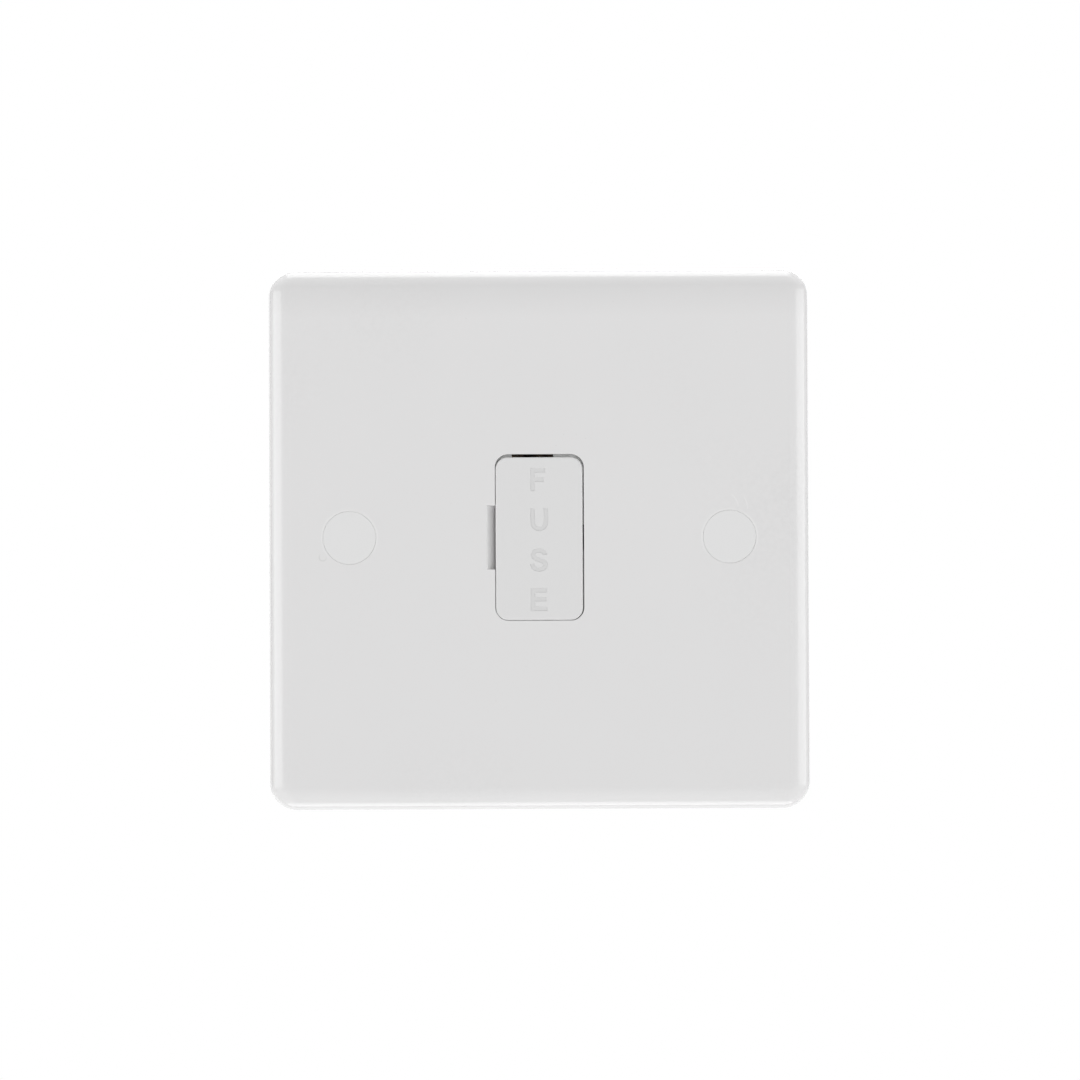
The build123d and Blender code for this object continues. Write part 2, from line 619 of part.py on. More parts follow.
def build():
    """Every piece in its place, by node name."""
    in_carrier = Pos(-LATCH_PUSH, 0, -CARRIER_DROP)
    at_fuse = Pos(FUSE_X, FUSE_Y, -CARRIER_DROP)
    cover_screws = [Pos(x, 0, z) * cover_screw() for x, z in cover_screw_places()]
    fixing_screws = [Pos(side * FIXING_X, 0, 0) * fixing_screw() for side in SIDES.values()]
    pieces = {
        "front_plate": front_plate(),
        "rear_cover": rear_cover(),
        "cover_screws": Compound(children=cover_screws),
        "fixing_screws": Compound(children=fixing_screws),
        "fuse_carrier": in_carrier * fuse_carrier(),
        "fuse_tube": at_fuse * fuse_tube(),
        "fuse_cap_upper": at_fuse * fuse_cap(1),
        "fuse_cap_lower": at_fuse * fuse_cap(-1),
        "fuse_element": at_fuse * fuse_element(),
        "neutral_link": link(COLUMNS["neutral"]),
        "earth_link": link(COLUMNS["earth"]),
    }
    for side, sign in SIDES.items():
        pieces[f"{side}_screw_cap"] = Pos(sign * FIXING_X, 0, 0) * screw_cap()
    for row, sign in ROWS.items():
        pieces[f"live_{row}_clip"] = fuse_clip(sign)
        for column, x in COLUMNS.items():
            pieces[f"{column}_{row}_terminal"] = terminal_block(x, sign * TERMINAL_Z)
            pieces[f"{column}_{row}_screw"] = Pos(x, 0, sign * TERMINAL_Z) * clamp_screw()
    return pieces


os.makedirs("parts", exist_ok=True)
for node, piece in build().items():
    export_step(piece, f"parts/{node}.step")
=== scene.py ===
import math

import bmesh
import bpy
from mathutils import Matrix, Quaternion, Vector
from mathutils.geometry import interpolate_bezier


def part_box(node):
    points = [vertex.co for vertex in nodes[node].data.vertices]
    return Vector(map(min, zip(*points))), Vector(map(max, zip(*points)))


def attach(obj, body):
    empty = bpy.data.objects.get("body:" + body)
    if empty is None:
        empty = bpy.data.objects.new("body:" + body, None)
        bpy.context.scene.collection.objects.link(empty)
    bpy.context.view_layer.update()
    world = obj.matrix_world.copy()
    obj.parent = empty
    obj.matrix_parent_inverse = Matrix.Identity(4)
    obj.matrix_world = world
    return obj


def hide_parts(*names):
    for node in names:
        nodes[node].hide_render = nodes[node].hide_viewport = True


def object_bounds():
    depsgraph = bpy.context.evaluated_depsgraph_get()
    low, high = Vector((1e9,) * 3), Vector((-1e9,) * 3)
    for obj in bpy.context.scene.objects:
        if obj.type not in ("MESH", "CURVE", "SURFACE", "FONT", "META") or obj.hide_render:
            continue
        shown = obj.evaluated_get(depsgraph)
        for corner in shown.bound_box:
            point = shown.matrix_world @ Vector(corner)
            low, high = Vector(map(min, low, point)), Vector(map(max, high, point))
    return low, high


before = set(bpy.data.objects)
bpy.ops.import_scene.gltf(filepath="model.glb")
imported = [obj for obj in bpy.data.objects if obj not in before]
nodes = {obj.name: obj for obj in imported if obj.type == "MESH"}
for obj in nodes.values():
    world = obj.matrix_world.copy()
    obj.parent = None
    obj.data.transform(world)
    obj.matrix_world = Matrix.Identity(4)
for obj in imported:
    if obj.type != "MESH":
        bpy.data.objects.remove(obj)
cad_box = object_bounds()

MM = 0.001
FRONT = cad_box[0].y
WHITE = (1.0, 1.0, 1.0, 1.0)

# Photograph: where the camera stood, in metres and degrees, and how the plate lies in its frame
PHOTO_PIXELS = 1080
PIXELS_PER_MM = 6.307
PLATE_CENTRE_PIXEL = (539.58, 537.27)
CAMERA_DISTANCE = 1.4
CAMERA_AZIMUTH = -0.53
CAMERA_ELEVATION = -2.01
CAMERA_ROLL = -0.24
SENSOR_WIDTH = 36.0

# Soft boxes round the plate: azimuth and elevation in degrees, width and height in metres, watts
LAMP_DISTANCE = 1.0
SOFT_BOXES = {
    "left_box": (-80, 0, 1.18, 0.58, 4.2),
    "right_box": (81, 0, 1.18, 0.58, 4.2),
    "top_box": (0, 98.4, 0.82, 0.8, 7.5),
    "bottom_box": (0, -118, 0.73, 0.67, 2.8),
    "rear_box": (180, 28, 0.7, 0.5, 6.8),
}

# Fill light of the world: its level in front and behind, how soon it turns and how far it leans to below
FILL_FRONT = 0.735
FILL_BACK = 0.05
FILL_TURN = 0.2
FILL_LEAN = 0.65

# Floor, which fades to the white background, in metres
FLOOR_SIZE = 6.0
FLOOR_GAP = 0.0002
FLOOR_TONE = (0.9, 0.9, 0.9, 1.0)
FLOOR_ROUGHNESS = 0.9
FLOOR_CLEAR_FROM = 0.12
FLOOR_CLEAR_TO = 0.45

# Word cut into the carrier's face, letter by letter from the top, in millimetres
LETTER_STROKE = 0.667
LETTER_HEIGHT = 3.6
LETTER_PITCH = 6.344
LETTER_DEPTH = 0.06
LETTER_LEFT = -1.36
LETTERS_SHIFT_Z = -0.136
F_BARS = ((0.0, 2.31), (1.45, 2.09))
E_BARS = ((0.0, 2.6), (1.4, 2.44), (LETTER_HEIGHT - LETTER_STROKE, 2.6))
U_WIDTH = 2.75
ARC_STEPS = 16
S_LEFT = -0.08
S_SPINE = (
    ((2.33, -1.05), (2.33, -0.66), (1.89, -0.333), (1.36, -0.333)),
    ((1.36, -0.333), (0.87, -0.333), (0.46, -0.64), (0.46, -1.02)),
    ((0.46, -1.02), (0.46, -1.46), (0.9, -1.69), (1.4, -1.82)),
    ((1.4, -1.82), (1.94, -1.96), (2.46, -2.2), (2.46, -2.66)),
    ((2.46, -2.66), (2.46, -3.06), (1.97, -3.372), (1.38, -3.372)),
    ((1.38, -3.372), (0.8, -3.372), (0.325, -2.97), (0.325, -2.475)),
)

# Thread of the fixing screws, in millimetres; each step is a share of the pitch and of the depth
THREAD_DIA = 3.5
THREAD_PITCH = 0.6
THREAD_DEPTH = 0.37
THREAD_STEPS = ((0.0, 0.0), (0.125, 0.0), (0.4375, 1.0), (0.6875, 1.0))
THREAD_SIDES = 32
THREAD_MATCH = 0.02

# Raised marks on the back of the rear cover, in millimetres, and their turn from flat text to face +Y
MARK_HEIGHT = 2.6
MARK_CAPITAL = 0.7
MARK_RISE = 0.3
MARK_SINK = 0.05
MARK_TO_HOLE = 5.2
ROW_MARK_DROP = 10.2
MARK_TURN = Matrix(((-1, 0, 0), (0, 0, 1), (0, 1, 0)))
ROW_WORDS = {"load": "LOAD", "supply": "SUPPLY"}
COLUMN_LETTERS = {"neutral": "N", "live": "L", "earth": "E"}

# Rub marks on the plate's face, whose light tone and depth also serve the painted highlights round the
# caps: centre, radius, direction of the middle, half spread, width, tone
RUB_AND_HIGHLIGHT_TONE = (0.84, 0.838, 0.838, 1.0)
GREY_RUB = (0.67, 0.67, 0.665, 1.0)
ARC_DEPTH = 0.05 * MM
ARC_FADE = 0.35
RUB_MARKS = (
    ((28.8 * MM, 4.5 * MM), 2.75 * MM, 30, 26, 0.14 * MM, RUB_AND_HIGHLIGHT_TONE),
    ((30.05 * MM, 4.6 * MM), 2.93 * MM, 15, 21, 0.14 * MM, RUB_AND_HIGHLIGHT_TONE),
    ((-34.38 * MM, -3.05 * MM), 0.58 * MM, -115, 115, 0.12 * MM, GREY_RUB),
)

# Painted highlights round the upper side of each cap's edge: direction of the middle and half spread
CAP_HIGHLIGHT_RADIUS = 4.4 * MM
CAP_HIGHLIGHT_WIDTH = 0.2 * MM
CAP_HIGHLIGHTS = ((150, 75), (15, 50))

# Recesses in the front, whose walls and ledges are given painted light, and the pry slot's ramp, which
# is given painted shade;
# a wall's or an edge's normal has at most its facing along Y
RECESS_START = 0.02 * MM
RECESS_LEDGE = 1.3 * MM
RECESS_END = 2.6 * MM
RECESS_REACH = 39.0 * MM
RAMP_FROM = -9.0 * MM
RAMP_TO = -7.1 * MM
WALL_FACING = 0.5
EDGE_FACING = 1.1
WALL_PAINTED_LIGHT = (0.985, 0.985, 0.98, 1.0)
LEDGE_PAINTED_LIGHT = (0.86, 0.86, 0.855, 1.0)
RAMP_SHADE = 0.82

# Painted shade in a band along the top of the plate's face
SHADE_BAND_FROM = 35.0 * MM
SHADE_BAND_TO = 40.0 * MM
SHADE_BAND_FADE = 1.3 * MM
SHADE_BAND_SHARE = 0.38

# Soil, which gathers towards the plate's rim: its share at the middle and at the rim
RIM_FROM = 20.0 * MM
RIM_TO = 41.0 * MM
RIM_SOIL = (0.4, 1.7)

# Painted shade on the left and right sides, which are greyer than the face, and on the top
SIDE_FROM = 42.42 * MM
SIDE_TO = 42.6 * MM
SIDE_SHADE = 0.78
TOP_SHADE = 0.86
TOP_START = FRONT + 3.2 * MM
TOP_END = FRONT + 4.6 * MM

# Surface detail of the plastics and the metals
PLASTIC_IOR = 1.5
PLASTIC_EDGE = 0.08 * MM
PLASTIC_RELIEF = 0.02 * MM
PLASTIC_BUMP = 0.2
MOTTLE = 0.008
SOIL_AND_SHADE_TONE = 0.82
SPECK_SHADE = 0.6
SPECK_CORE = 0.5
METAL_EDGE = 0.12 * MM
METAL_RELIEF = 0.03 * MM
METAL_BUMP = 0.25
LINE_SHADES = (0.78, 1.05)
RUBBED_SHADE = 1.2
RUBBED_SHARE = 0.5
EDGE_SAMPLES = 6
WEAR_SPAN = (0.98, 0.8)

# Noise: how much detail each pattern has, and the stretch of its values that counts
GRAIN_DETAIL = 3.0
RIPPLE_DETAIL = 2.0
GLOSS_DETAIL = 5.0
PATCH_DETAIL = 3.0
GRIT_DETAIL = 2.0
LINE_DETAIL = 4.0
TARNISH_DETAIL = 6.0
MIDDLE_SPAN = (0.3, 0.7)
PATCH_SPAN = (0.45, 0.75)
GRIT_SPAN = (0.35, 0.75)
TARNISH_SPAN = (0.45, 0.75)
BRONZE_TARNISH_AND_SHADE_SPAN = (0.25, 0.55)

# Plastics and ceramic: colour, lowest and highest roughness, share of grain, share of soil
PLASTICS = {
    "plate_white": ((0.793, 0.789, 0.79), (0.16, 0.22), 0.25, 0.14),
    "cap_white": ((0.804, 0.804, 0.804), (0.16, 0.22), 0.25, 0.02),
    "carrier_white": ((0.771, 0.77, 0.77), (0.18, 0.26), 0.3, 0.04),
    # The engraved letters' floors are darker than the carrier's face: painted shade of the engraving
    "engraved_white": ((0.722, 0.721, 0.721), (0.3, 0.4), 0.4, 0.05),
    "cover_white": ((0.72, 0.715, 0.69), (0.45, 0.6), 0.8, 0.3),
    "mark_white": ((0.6, 0.595, 0.575), (0.45, 0.6), 0.8, 0.3),
    "fuse_ceramic": ((0.8, 0.78, 0.72), (0.5, 0.65), 1.0, 0.3),
}

# Metals: colour, dull colour, lowest and highest roughness, stretch of the tool lines along X, Y and Z,
# how far it has dulled and the span of its tarnish
METALS = {
    "zinc_steel": (
        (0.72, 0.73, 0.75), (0.5, 0.5, 0.48), (0.38, 0.6), (900, 900, 900), 0.7, TARNISH_SPAN
    ),
    "terminal_steel": (
        (0.66, 0.66, 0.66), (0.45, 0.44, 0.42), (0.35, 0.55), (900, 4000, 900), 0.7, TARNISH_SPAN
    ),
    "brass_block": (
        (0.78, 0.6, 0.3), (0.5, 0.34, 0.15), (0.22, 0.42), (6000, 500, 500), 0.5, TARNISH_SPAN
    ),
    "brass_strip": (
        (0.76, 0.58, 0.3), (0.46, 0.31, 0.15), (0.25, 0.45), (5000, 5000, 250), 0.7, TARNISH_SPAN
    ),
    # The spring bronze's very dark tarnish is partly painted shade, for the clip seen through the slit
    "spring_bronze": (
        (0.72, 0.48, 0.3), (0.12, 0.09, 0.08), (0.25, 0.6), (250, 5000, 5000), 1.0, BRONZE_TARNISH_AND_SHADE_SPAN
    ),
    "fuse_nickel": (
        (0.74, 0.73, 0.7), (0.55, 0.53, 0.48), (0.32, 0.5), (400, 400, 7000), 0.6, TARNISH_SPAN
    ),
    "fuse_wire": (
        (0.7, 0.7, 0.68), (0.5, 0.5, 0.48), (0.3, 0.45), (6000, 6000, 200), 0.5, TARNISH_SPAN
    ),
}

# Mesh work: vertices closer than this are one, in millimetres; the angle of a crisp edge; a flat face
JOIN_DISTANCE = 0.0005
SMOOTH_ANGLE = math.radians(30)
FLAT_LIMIT = 0.9999


def feed(tree, value, socket):
    """Link a socket to another one, or set its plain value."""
    if isinstance(value, bpy.types.NodeSocket):
        tree.links.new(value, socket)
    else:
        socket.default_value = value


def add(tree, kind, feeds=None, **settings):
    """A new node with its settings and its inputs."""
    node = tree.nodes.new(kind)
    for name, value in settings.items():
        setattr(node, name, value)
    for socket, value in (feeds or {}).items():
        feed(tree, value, node.inputs[socket])
    return node


def calculate(tree, operation, first, second=0.0, clamp=False):
    """The result of a Math node."""
    node = add(tree, "ShaderNodeMath", {0: first, 1: second}, operation=operation, use_clamp=clamp)
    return node.outputs[0]


def vector_step(tree, operation, first, second=(0.0, 0.0, 0.0)):
    """A Vector Math node with two inputs."""
    return add(tree, "ShaderNodeVectorMath", {0: first, 1: second}, operation=operation)


def spread(tree, value, low, high, to_low=0.0, to_high=1.0):
    """A value mapped from one range to another, and held at its ends."""
    feeds = {"Value": value, "From Min": low, "From Max": high, "To Min": to_low, "To Max": to_high}
    return add(tree, "ShaderNodeMapRange", feeds).outputs["Result"]


def blend(tree, factor, first, second):
    """The second colour laid over the first."""
    node = add(tree, "ShaderNodeMix", {"Factor": factor, "A": first, "B": second}, data_type="RGBA")
    return node.outputs["Result"]


def shade(colour, amount):
    """A colour made darker or lighter, with its alpha."""
    return tuple(min(1.0, channel * amount) for channel in colour[:3]) + (1.0,)


def noise(tree, place, scale, detail):
    """The value of a noise texture."""
    feeds = {"Vector": place, "Scale": scale, "Detail": detail}
    return add(tree, "ShaderNodeTexNoise", feeds).outputs["Fac"]


def own_place(tree):
    """The object's own coordinates."""
    return add(tree, "ShaderNodeTexCoord").outputs["Object"]


def off_centre(tree):
    """How far a point lies from the plate's middle, to the side or up and down."""
    axes = add(tree, "ShaderNodeSeparateXYZ", {"Vector": own_place(tree)}).outputs
    across = calculate(tree, "ABSOLUTE", axes["X"])
    return calculate(tree, "MAXIMUM", across, calculate(tree, "ABSOLUTE", axes["Z"]))


def new_group(name, inputs, outputs):
    """An empty shader node group with named sockets, and its two ends."""
    group = bpy.data.node_groups.new(name, "ShaderNodeTree")
    for socket, value in inputs.items():
        kind = "NodeSocketVector" if isinstance(value, tuple) else "NodeSocketFloat"
        group.interface.new_socket(socket, in_out="INPUT", socket_type=kind).default_value = value
    for socket, kind in outputs.items():
        group.interface.new_socket(socket, in_out="OUTPUT", socket_type=kind)
    entry = group.nodes.new("NodeGroupInput").outputs
    leave = group.nodes.new("NodeGroupOutput").inputs
    return group, entry, leave


def moulded_surface_group():
    """Fine surface of moulded plastic: a slight ripple, a fine grain and uneven gloss."""
    group, entry, leave = new_group(
        "moulded_surface",
        {"Grain Scale": 3200.0, "Ripple Scale": 55.0, "Grain Share": 0.25, "Gloss Scale": 260.0,
         "Roughness Low": 0.25, "Roughness High": 0.35},
        {"Height": "NodeSocketFloat", "Roughness": "NodeSocketFloat", "Mottle": "NodeSocketFloat"},
    )
    place = own_place(group)
    grain = noise(group, place, entry["Grain Scale"], GRAIN_DETAIL)
    ripple = noise(group, place, entry["Ripple Scale"], RIPPLE_DETAIL)
    gloss = noise(group, place, entry["Gloss Scale"], GLOSS_DETAIL)
    fine = calculate(group, "MULTIPLY", grain, entry["Grain Share"])
    feed(group, calculate(group, "ADD", fine, ripple), leave["Height"])
    roughness = spread(group, gloss, *MIDDLE_SPAN, entry["Roughness Low"], entry["Roughness High"])
    feed(group, roughness, leave["Roughness"])
    feed(group, ripple, leave["Mottle"])
    return group


def eased_edges_group():
    """Edges that are a little round to the light, and where they wear."""
    group, entry, leave = new_group(
        "eased_edges", {"Radius": PLASTIC_EDGE},
        {"Normal": "NodeSocketVector", "Wear": "NodeSocketFloat"},
    )
    bevel = add(group, "ShaderNodeBevel", {"Radius": entry["Radius"]}, samples=EDGE_SAMPLES)
    eased = bevel.outputs["Normal"]
    flat = add(group, "ShaderNodeNewGeometry").outputs["Normal"]
    alike = vector_step(group, "DOT_PRODUCT", eased, flat).outputs["Value"]
    feed(group, eased, leave["Normal"])
    feed(group, spread(group, alike, *WEAR_SPAN), leave["Wear"])
    return group


def stray_specks_group():
    """Small dark specks, far apart."""
    group, entry, leave = new_group(
        "stray_specks", {"Scale": 255.0, "Size": 0.035}, {"Mask": "NodeSocketFloat"}
    )
    feeds = {"Vector": own_place(group), "Scale": entry["Scale"]}
    away = add(group, "ShaderNodeTexVoronoi", feeds).outputs["Distance"]
    core = calculate(group, "MULTIPLY", entry["Size"], SPECK_CORE)
    feed(group, spread(group, away, entry["Size"], core), leave["Mask"])
    return group


def handling_smudge_group():
    """Faint uneven greyness from handling."""
    group, entry, leave = new_group(
        "handling_smudge", {"Patch Scale": 38.0, "Grit Scale": 1500.0},
        {"Mask": "NodeSocketFloat"},
    )
    place = own_place(group)
    patches = spread(group, noise(group, place, entry["Patch Scale"], PATCH_DETAIL), *PATCH_SPAN)
    grit = spread(group, noise(group, place, entry["Grit Scale"], GRIT_DETAIL), *GRIT_SPAN)
    feed(group, calculate(group, "MULTIPLY", patches, grit), leave["Mask"])
    return group


def arc_mark_group():
    """A thin arc on a face that looks along Y."""
    group, entry, leave = new_group(
        "arc_mark",
        {"Centre": (0.0, 0.0, 0.0), "Radius": 1.0, "Aim": (1.0, 0.0, 0.0), "Least Turn": 0.9,
         "Width": 0.1, "Depth": ARC_DEPTH},
        {"Mask": "NodeSocketFloat"},
    )
    offset = vector_step(group, "SUBTRACT", own_place(group), entry["Centre"]).outputs["Vector"]
    in_face = vector_step(group, "MULTIPLY", offset, (1.0, 0.0, 1.0)).outputs["Vector"]
    reach = vector_step(group, "LENGTH", in_face).outputs["Value"]
    away = calculate(group, "ABSOLUTE", calculate(group, "SUBTRACT", reach, entry["Radius"]))
    line = spread(group, away, entry["Width"], 0.0)
    heading = vector_step(group, "NORMALIZE", in_face).outputs["Vector"]
    turn = vector_step(group, "DOT_PRODUCT", heading, entry["Aim"]).outputs["Value"]
    along = calculate(group, "POWER", spread(group, turn, entry["Least Turn"], 1.0), ARC_FADE)
    height = add(group, "ShaderNodeSeparateXYZ", {"Vector": offset}).outputs["Y"]
    on_face = calculate(group, "LESS_THAN", calculate(group, "ABSOLUTE", height), entry["Depth"])
    arc = calculate(group, "MULTIPLY", line, along)
    feed(group, calculate(group, "MULTIPLY", arc, on_face), leave["Mask"])
    return group


def front_recesses_group():
    """Masks of the walls and ledges just below the front face, for painted light, and of the pry slot's
    ramp, for painted shade.
    """
    group, entry, leave = new_group(
        "front_recesses", {"Front": FRONT, "Facing": WALL_FACING},
        {"Walls": "NodeSocketFloat", "Ledges": "NodeSocketFloat", "Ramp": "NodeSocketFloat"},
    )
    place = add(group, "ShaderNodeSeparateXYZ", {"Vector": own_place(group)}).outputs
    normal = add(group, "ShaderNodeNewGeometry").outputs["Normal"]
    turned = add(group, "ShaderNodeSeparateXYZ", {"Vector": normal}).outputs["Y"]
    depth = calculate(group, "SUBTRACT", place["Y"], entry["Front"])
    inside = calculate(group, "LESS_THAN", off_centre(group), RECESS_REACH)
    inside = calculate(group, "MULTIPLY", inside, calculate(group, "GREATER_THAN", depth, RECESS_START))
    inside = calculate(group, "MULTIPLY", inside, calculate(group, "LESS_THAN", depth, RECESS_END))
    wall = calculate(group, "LESS_THAN", calculate(group, "ABSOLUTE", turned), entry["Facing"])
    ledge = calculate(group, "GREATER_THAN", depth, RECESS_LEDGE)
    feed(group, calculate(group, "MULTIPLY", inside, wall), leave["Walls"])
    level = calculate(group, "MULTIPLY", inside, calculate(group, "SUBTRACT", 1.0, wall))
    feed(group, calculate(group, "MULTIPLY", level, ledge), leave["Ledges"])
    slope = calculate(group, "MULTIPLY", level, calculate(group, "SUBTRACT", 1.0, ledge))
    slope = calculate(group, "MULTIPLY", slope, calculate(group, "GREATER_THAN", place["X"], RAMP_FROM))
    slope = calculate(group, "MULTIPLY", slope, calculate(group, "LESS_THAN", place["X"], RAMP_TO))
    feed(group, slope, leave["Ramp"])
    return group


def tool_lines_group():
    """Fine lines that a tool or a die leaves along one direction."""
    group, entry, leave = new_group(
        "tool_lines", {"Stretch": (400.0, 9000.0, 400.0)},
        {"Height": "NodeSocketFloat", "Shade": "NodeSocketFloat"},
    )
    drawn = vector_step(group, "MULTIPLY", own_place(group), entry["Stretch"]).outputs["Vector"]
    lines = noise(group, drawn, 1.0, LINE_DETAIL)
    feed(group, lines, leave["Height"])
    feed(group, spread(group, lines, *MIDDLE_SPAN), leave["Shade"])
    return group


def tarnish_group():
    """Patches where a metal has dulled."""
    group, entry, leave = new_group(
        "tarnish", {"Scale": 320.0, "Start": TARNISH_SPAN[0], "End": TARNISH_SPAN[1]},
        {"Mask": "NodeSocketFloat"},
    )
    patches = noise(group, own_place(group), entry["Scale"], TARNISH_DETAIL)
    feed(group, spread(group, patches, entry["Start"], entry["End"]), leave["Mask"])
    return group


def place_group(tree, name, values=None):
    """The outputs of a node group placed in a material with its own values."""
    return add(tree, "ShaderNodeGroup", values, node_tree=groups[name]).outputs


def new_material(name):
    """A node material with its tree and its shader."""
    material = bpy.data.materials.new(name)
    material.use_nodes = True
    return material, material.node_tree, material.node_tree.nodes["Principled BSDF"]


def relief(tree, height, normal, strength, distance):
    """A normal with fine relief on it."""
    feeds = {"Height": height, "Normal": normal, "Strength": strength, "Distance": distance}
    return add(tree, "ShaderNodeBump", feeds).outputs["Normal"]


def arc_mask(tree, centre, radius, middle, half_spread, width):
    """The mask of one thin arc on the plate's front face, for a rub mark and for a painted highlight."""
    angle = math.radians(middle)
    values = {
        "Centre": (centre[0], FRONT, centre[1]),
        "Radius": radius,
        "Aim": (math.cos(angle), 0.0, math.sin(angle)),
        "Least Turn": math.cos(math.radians(half_spread)),
        "Width": width,
        "Depth": ARC_DEPTH,
    }
    return place_group(tree, "arc_mark", values)["Mask"]


def cap_highlights():
    """Painted highlights round the upper side of both screw caps' edges."""
    marks = []
    for cap in ("left_screw_cap", "right_screw_cap"):
        low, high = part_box(cap)
        centre = ((low.x + high.x) / 2, (low.z + high.z) / 2)
        for middle, half_spread in CAP_HIGHLIGHTS:
            marks.append((centre, CAP_HIGHLIGHT_RADIUS, middle, half_spread, CAP_HIGHLIGHT_WIDTH, RUB_AND_HIGHLIGHT_TONE))
    return marks


def painted_edge_shade(tree, body, colour, band_shade):
    """The plate's colour with painted shade: a band along the top of its face, greyer sides and a greyer
    top.
    """
    axes = add(tree, "ShaderNodeSeparateXYZ", {"Vector": own_place(tree)}).outputs
    # Painted shade in a band along the top of the face
    shade_band = spread(tree, axes["Z"], SHADE_BAND_FROM, SHADE_BAND_TO, 0.0, band_shade)
    below_edge = spread(tree, axes["Z"], SHADE_BAND_TO + SHADE_BAND_FADE, SHADE_BAND_TO)
    shade_band = calculate(tree, "MULTIPLY", shade_band, below_edge)
    body = blend(tree, shade_band, body, shade(colour, SOIL_AND_SHADE_TONE))
    # Painted shade on the left and right sides
    side = spread(tree, calculate(tree, "ABSOLUTE", axes["X"]), SIDE_FROM, SIDE_TO)
    body = blend(tree, side, body, shade(colour, SIDE_SHADE))
    # Painted shade on the top
    top = spread(tree, axes["Z"], SIDE_FROM, SIDE_TO)
    top = calculate(tree, "MULTIPLY", top, spread(tree, axes["Y"], TOP_START, TOP_END))
    return blend(tree, top, body, shade(colour, TOP_SHADE))


def recessed(tree, body, colour, facing):
    """A colour with painted light on the front's recess walls and ledges, and painted shade on the pry
    slot's ramp.
    """
    recesses = place_group(tree, "front_recesses", {"Facing": facing})
    # Painted light on the walls and ledges, painted shade on the ramp
    body = blend(tree, recesses["Walls"], body, WALL_PAINTED_LIGHT)
    body = blend(tree, recesses["Ledges"], body, LEDGE_PAINTED_LIGHT)
    return blend(tree, recesses["Ramp"], body, shade(colour, RAMP_SHADE))


def white_plastic(name, marks=(), band_shade=0.0, facing=0.0):
    """Moulded white plastic with soft edges and a little soil; some also has rub marks with painted
    highlights, painted shade near its rim, and painted light and shade in its recesses.
    """
    colour, roughness, grain, soil = PLASTICS[name]
    material, tree, shader = new_material(name)
    finish = {"Roughness Low": roughness[0], "Roughness High": roughness[1], "Grain Share": grain}
    surface = place_group(tree, "moulded_surface", finish)
    edges = place_group(tree, "eased_edges", {"Radius": PLASTIC_EDGE})
    smudge = calculate(tree, "MULTIPLY", place_group(tree, "handling_smudge")["Mask"], soil)
    # Only the plate has the painted shade band, and its soil gathers towards its rim
    if band_shade:
        gathered = spread(tree, off_centre(tree), RIM_FROM, RIM_TO, *RIM_SOIL)
        smudge = calculate(tree, "MULTIPLY", smudge, gathered)
    specks = calculate(tree, "MULTIPLY", place_group(tree, "stray_specks")["Mask"], soil)
    body = blend(tree, surface["Mottle"], shade(colour, 1 - MOTTLE), shade(colour, 1 + MOTTLE))
    body = blend(tree, smudge, body, shade(colour, SOIL_AND_SHADE_TONE))
    body = blend(tree, specks, body, shade(colour, SPECK_SHADE))
    # Rub marks, and the painted highlights round the caps
    for *arc, tone in marks:
        body = blend(tree, arc_mask(tree, *arc), body, tone)
    # The plate's painted shade along the top of its face, on its sides and on its top
    if band_shade:
        body = painted_edge_shade(tree, body, colour, band_shade)
    # Painted light in the recesses and painted shade on the pry slot's ramp
    if facing:
        body = recessed(tree, body, colour, facing)
    feed(tree, body, shader.inputs["Base Color"])
    feed(tree, surface["Roughness"], shader.inputs["Roughness"])
    normal = relief(tree, surface["Height"], edges["Normal"], PLASTIC_BUMP, PLASTIC_RELIEF)
    feed(tree, normal, shader.inputs["Normal"])
    shader.inputs["IOR"].default_value = PLASTIC_IOR
    return material


def metal(name):
    """Bright metal with tool lines, dull patches and edges that are rubbed bright."""
    colour, dull, roughness, stretch, dulling, span = METALS[name]
    material, tree, shader = new_material(name)
    lines = place_group(tree, "tool_lines", {"Stretch": stretch})
    edges = place_group(tree, "eased_edges", {"Radius": METAL_EDGE})
    tarnish = place_group(tree, "tarnish", {"Start": span[0], "End": span[1]})["Mask"]
    patches = calculate(tree, "MULTIPLY", tarnish, dulling)
    body = blend(tree, lines["Shade"], shade(colour, LINE_SHADES[0]), shade(colour, LINE_SHADES[1]))
    body = blend(tree, patches, body, (*dull, 1.0))
    rubbed = calculate(tree, "MULTIPLY", edges["Wear"], RUBBED_SHARE)
    feed(tree, blend(tree, rubbed, body, shade(colour, RUBBED_SHADE)), shader.inputs["Base Color"])
    feed(tree, spread(tree, patches, 0.0, 1.0, *roughness), shader.inputs["Roughness"])
    normal = relief(tree, lines["Height"], edges["Normal"], METAL_BUMP, METAL_RELIEF)
    feed(tree, normal, shader.inputs["Normal"])
    shader.inputs["Metallic"].default_value = 1.0
    return material


def link_object(name, data):
    """A new object in the scene."""
    made = bpy.data.objects.new(name, data)
    bpy.context.scene.collection.objects.link(made)
    return made


def finished_mesh(name, shape):
    """A mesh from a bmesh, which is freed."""
    mesh = bpy.data.meshes.new(name)
    shape.to_mesh(mesh)
    shape.free()
    return mesh


def box_mm(node):
    """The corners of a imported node's box, in millimetres."""
    low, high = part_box(node)
    return low / MM, high / MM


def joined_copy(node):
    """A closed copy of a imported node's mesh, in millimetres, with its split vertices joined."""
    shape = bmesh.new()
    shape.from_mesh(nodes[node].data)
    bmesh.ops.transform(shape, matrix=Matrix.Scale(1 / MM, 4), verts=shape.verts)
    bmesh.ops.remove_doubles(shape, verts=shape.verts, dist=JOIN_DISTANCE)
    return shape


